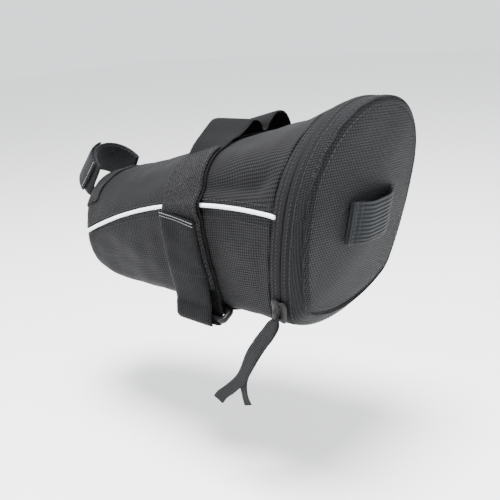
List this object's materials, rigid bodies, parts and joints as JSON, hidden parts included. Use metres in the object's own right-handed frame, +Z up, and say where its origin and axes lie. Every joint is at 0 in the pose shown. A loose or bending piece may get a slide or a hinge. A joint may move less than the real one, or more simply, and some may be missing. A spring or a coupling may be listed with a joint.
{
  "type": "saddle bag",
  "caption": "Wedge-shaped padded saddle bag with a zipped rear lid, reflective piping, straps over the saddle rails and a strap round the seat post.",
  "frame": {"origin": "between the two saddle rails at the height the rails pass, above the middle of the rail strap", "axes": "+X rearwards towards the lid, +Y to the rider's right, +Z up towards the saddle"},
  "size_m": [0.1987, 0.0958, 0.1425],
  "materials": {
    "shell_cloth": "dark grey woven nylon with a soft sheen",
    "lid_cloth": "dark blue-grey woven nylon with a soft sheen",
    "reflective_piping": "silver white retroreflective",
    "foam": "matte closed foam",
    "lining_cloth": "matte thin nylon",
    "binding_tape": "matte tape",
    "zip_tape": "matte knitted tape",
    "zip_coil": "satin nylon coil",
    "zip_stop": "satin",
    "webbing": "ribbed black webbing",
    "post_webbing": "ribbed black webbing",
    "loop_tape": "brushed loop pile",
    "ring_plastic": "satin moulded plastic",
    "light_loop_webbing": "ribbed webbing",
    "slider_metal": "gloss black",
    "pull_lace": "mesh-like knitted lace"
  },
  "bodies": {
    "bag": {"upper_panel": "shell_cloth", "lower_panel": "shell_cloth", "piping": "reflective_piping", "body_foam": "foam", "body_lining": "lining_cloth", "body_binding": "binding_tape", "zip_tape_body": "zip_tape", "zip_coil_body": "zip_coil", "zip_end_stops": "zip_stop", "hinge_strip_body": "zip_tape", "strap_anchor": "webbing", "rail_strap": "webbing", "loop_tape_left": "loop_tape", "loop_tape_right": "loop_tape", "ring_left": "ring_plastic", "ring_right": "ring_plastic", "ring_tab_left": "webbing", "ring_tab_right": "webbing", "nose_patch": "shell_cloth", "post_strap": "post_webbing"},
    "lid": {"lid_gusset": "lid_cloth", "lid_panel": "lid_cloth", "lid_foam": "foam", "lid_lining": "lining_cloth", "lid_binding": "binding_tape", "zip_tape_lid": "zip_tape", "zip_coil_lid": "zip_coil", "hinge_strip_lid": "zip_tape", "light_loop": "light_loop_webbing"},
    "slider": {"zip_slider": "slider_metal"},
    "pull": {"zip_pull": "pull_lace"},
    "tail_left": {"hook_tail_left": "webbing"},
    "tail_right": {"hook_tail_right": "webbing"},
    "post_flap": {"post_strap_flap": "post_webbing"}
  },
  "joints": [
    {"name": "lid_hinge", "type": "hinge", "parent": "bag", "child": "lid", "pos_m": [0.04904, 0, -0.0903], "axis": [0, 1, 0], "range_deg": [0, 105]},
    {"name": "slider_travel", "type": "hinge", "parent": "bag", "child": "slider", "pos_m": [0.062, 0.0958, -0.0285], "axis": [-0.9785, 0, 0.2062], "range_deg": [0, 18]},
    {"name": "pull_swing", "type": "hinge", "parent": "slider", "child": "pull", "pos_m": [0.05249, -0.04283, -0.07363], "axis": [-0.9785, 0, 0.2062], "range_deg": [0, 120]},
    {"name": "tail_left_peel", "type": "hinge", "parent": "bag", "child": "tail_left", "pos_m": [-0.001, -0.0342, -0.087], "axis": [0.9926, -0.1215, 0], "range_deg": [0, 150]},
    {"name": "tail_right_peel", "type": "hinge", "parent": "bag", "child": "tail_right", "pos_m": [-0.001, 0.0342, -0.087], "axis": [-0.9926, -0.1215, 0], "range_deg": [0, 150]},
    {"name": "post_flap_peel", "type": "hinge", "parent": "bag", "child": "post_flap", "pos_m": [-0.10669, -0.00112, -0.02005], "axis": [-0.6561, 0, -0.7547], "range_deg": [0, 90]}
  ]
}
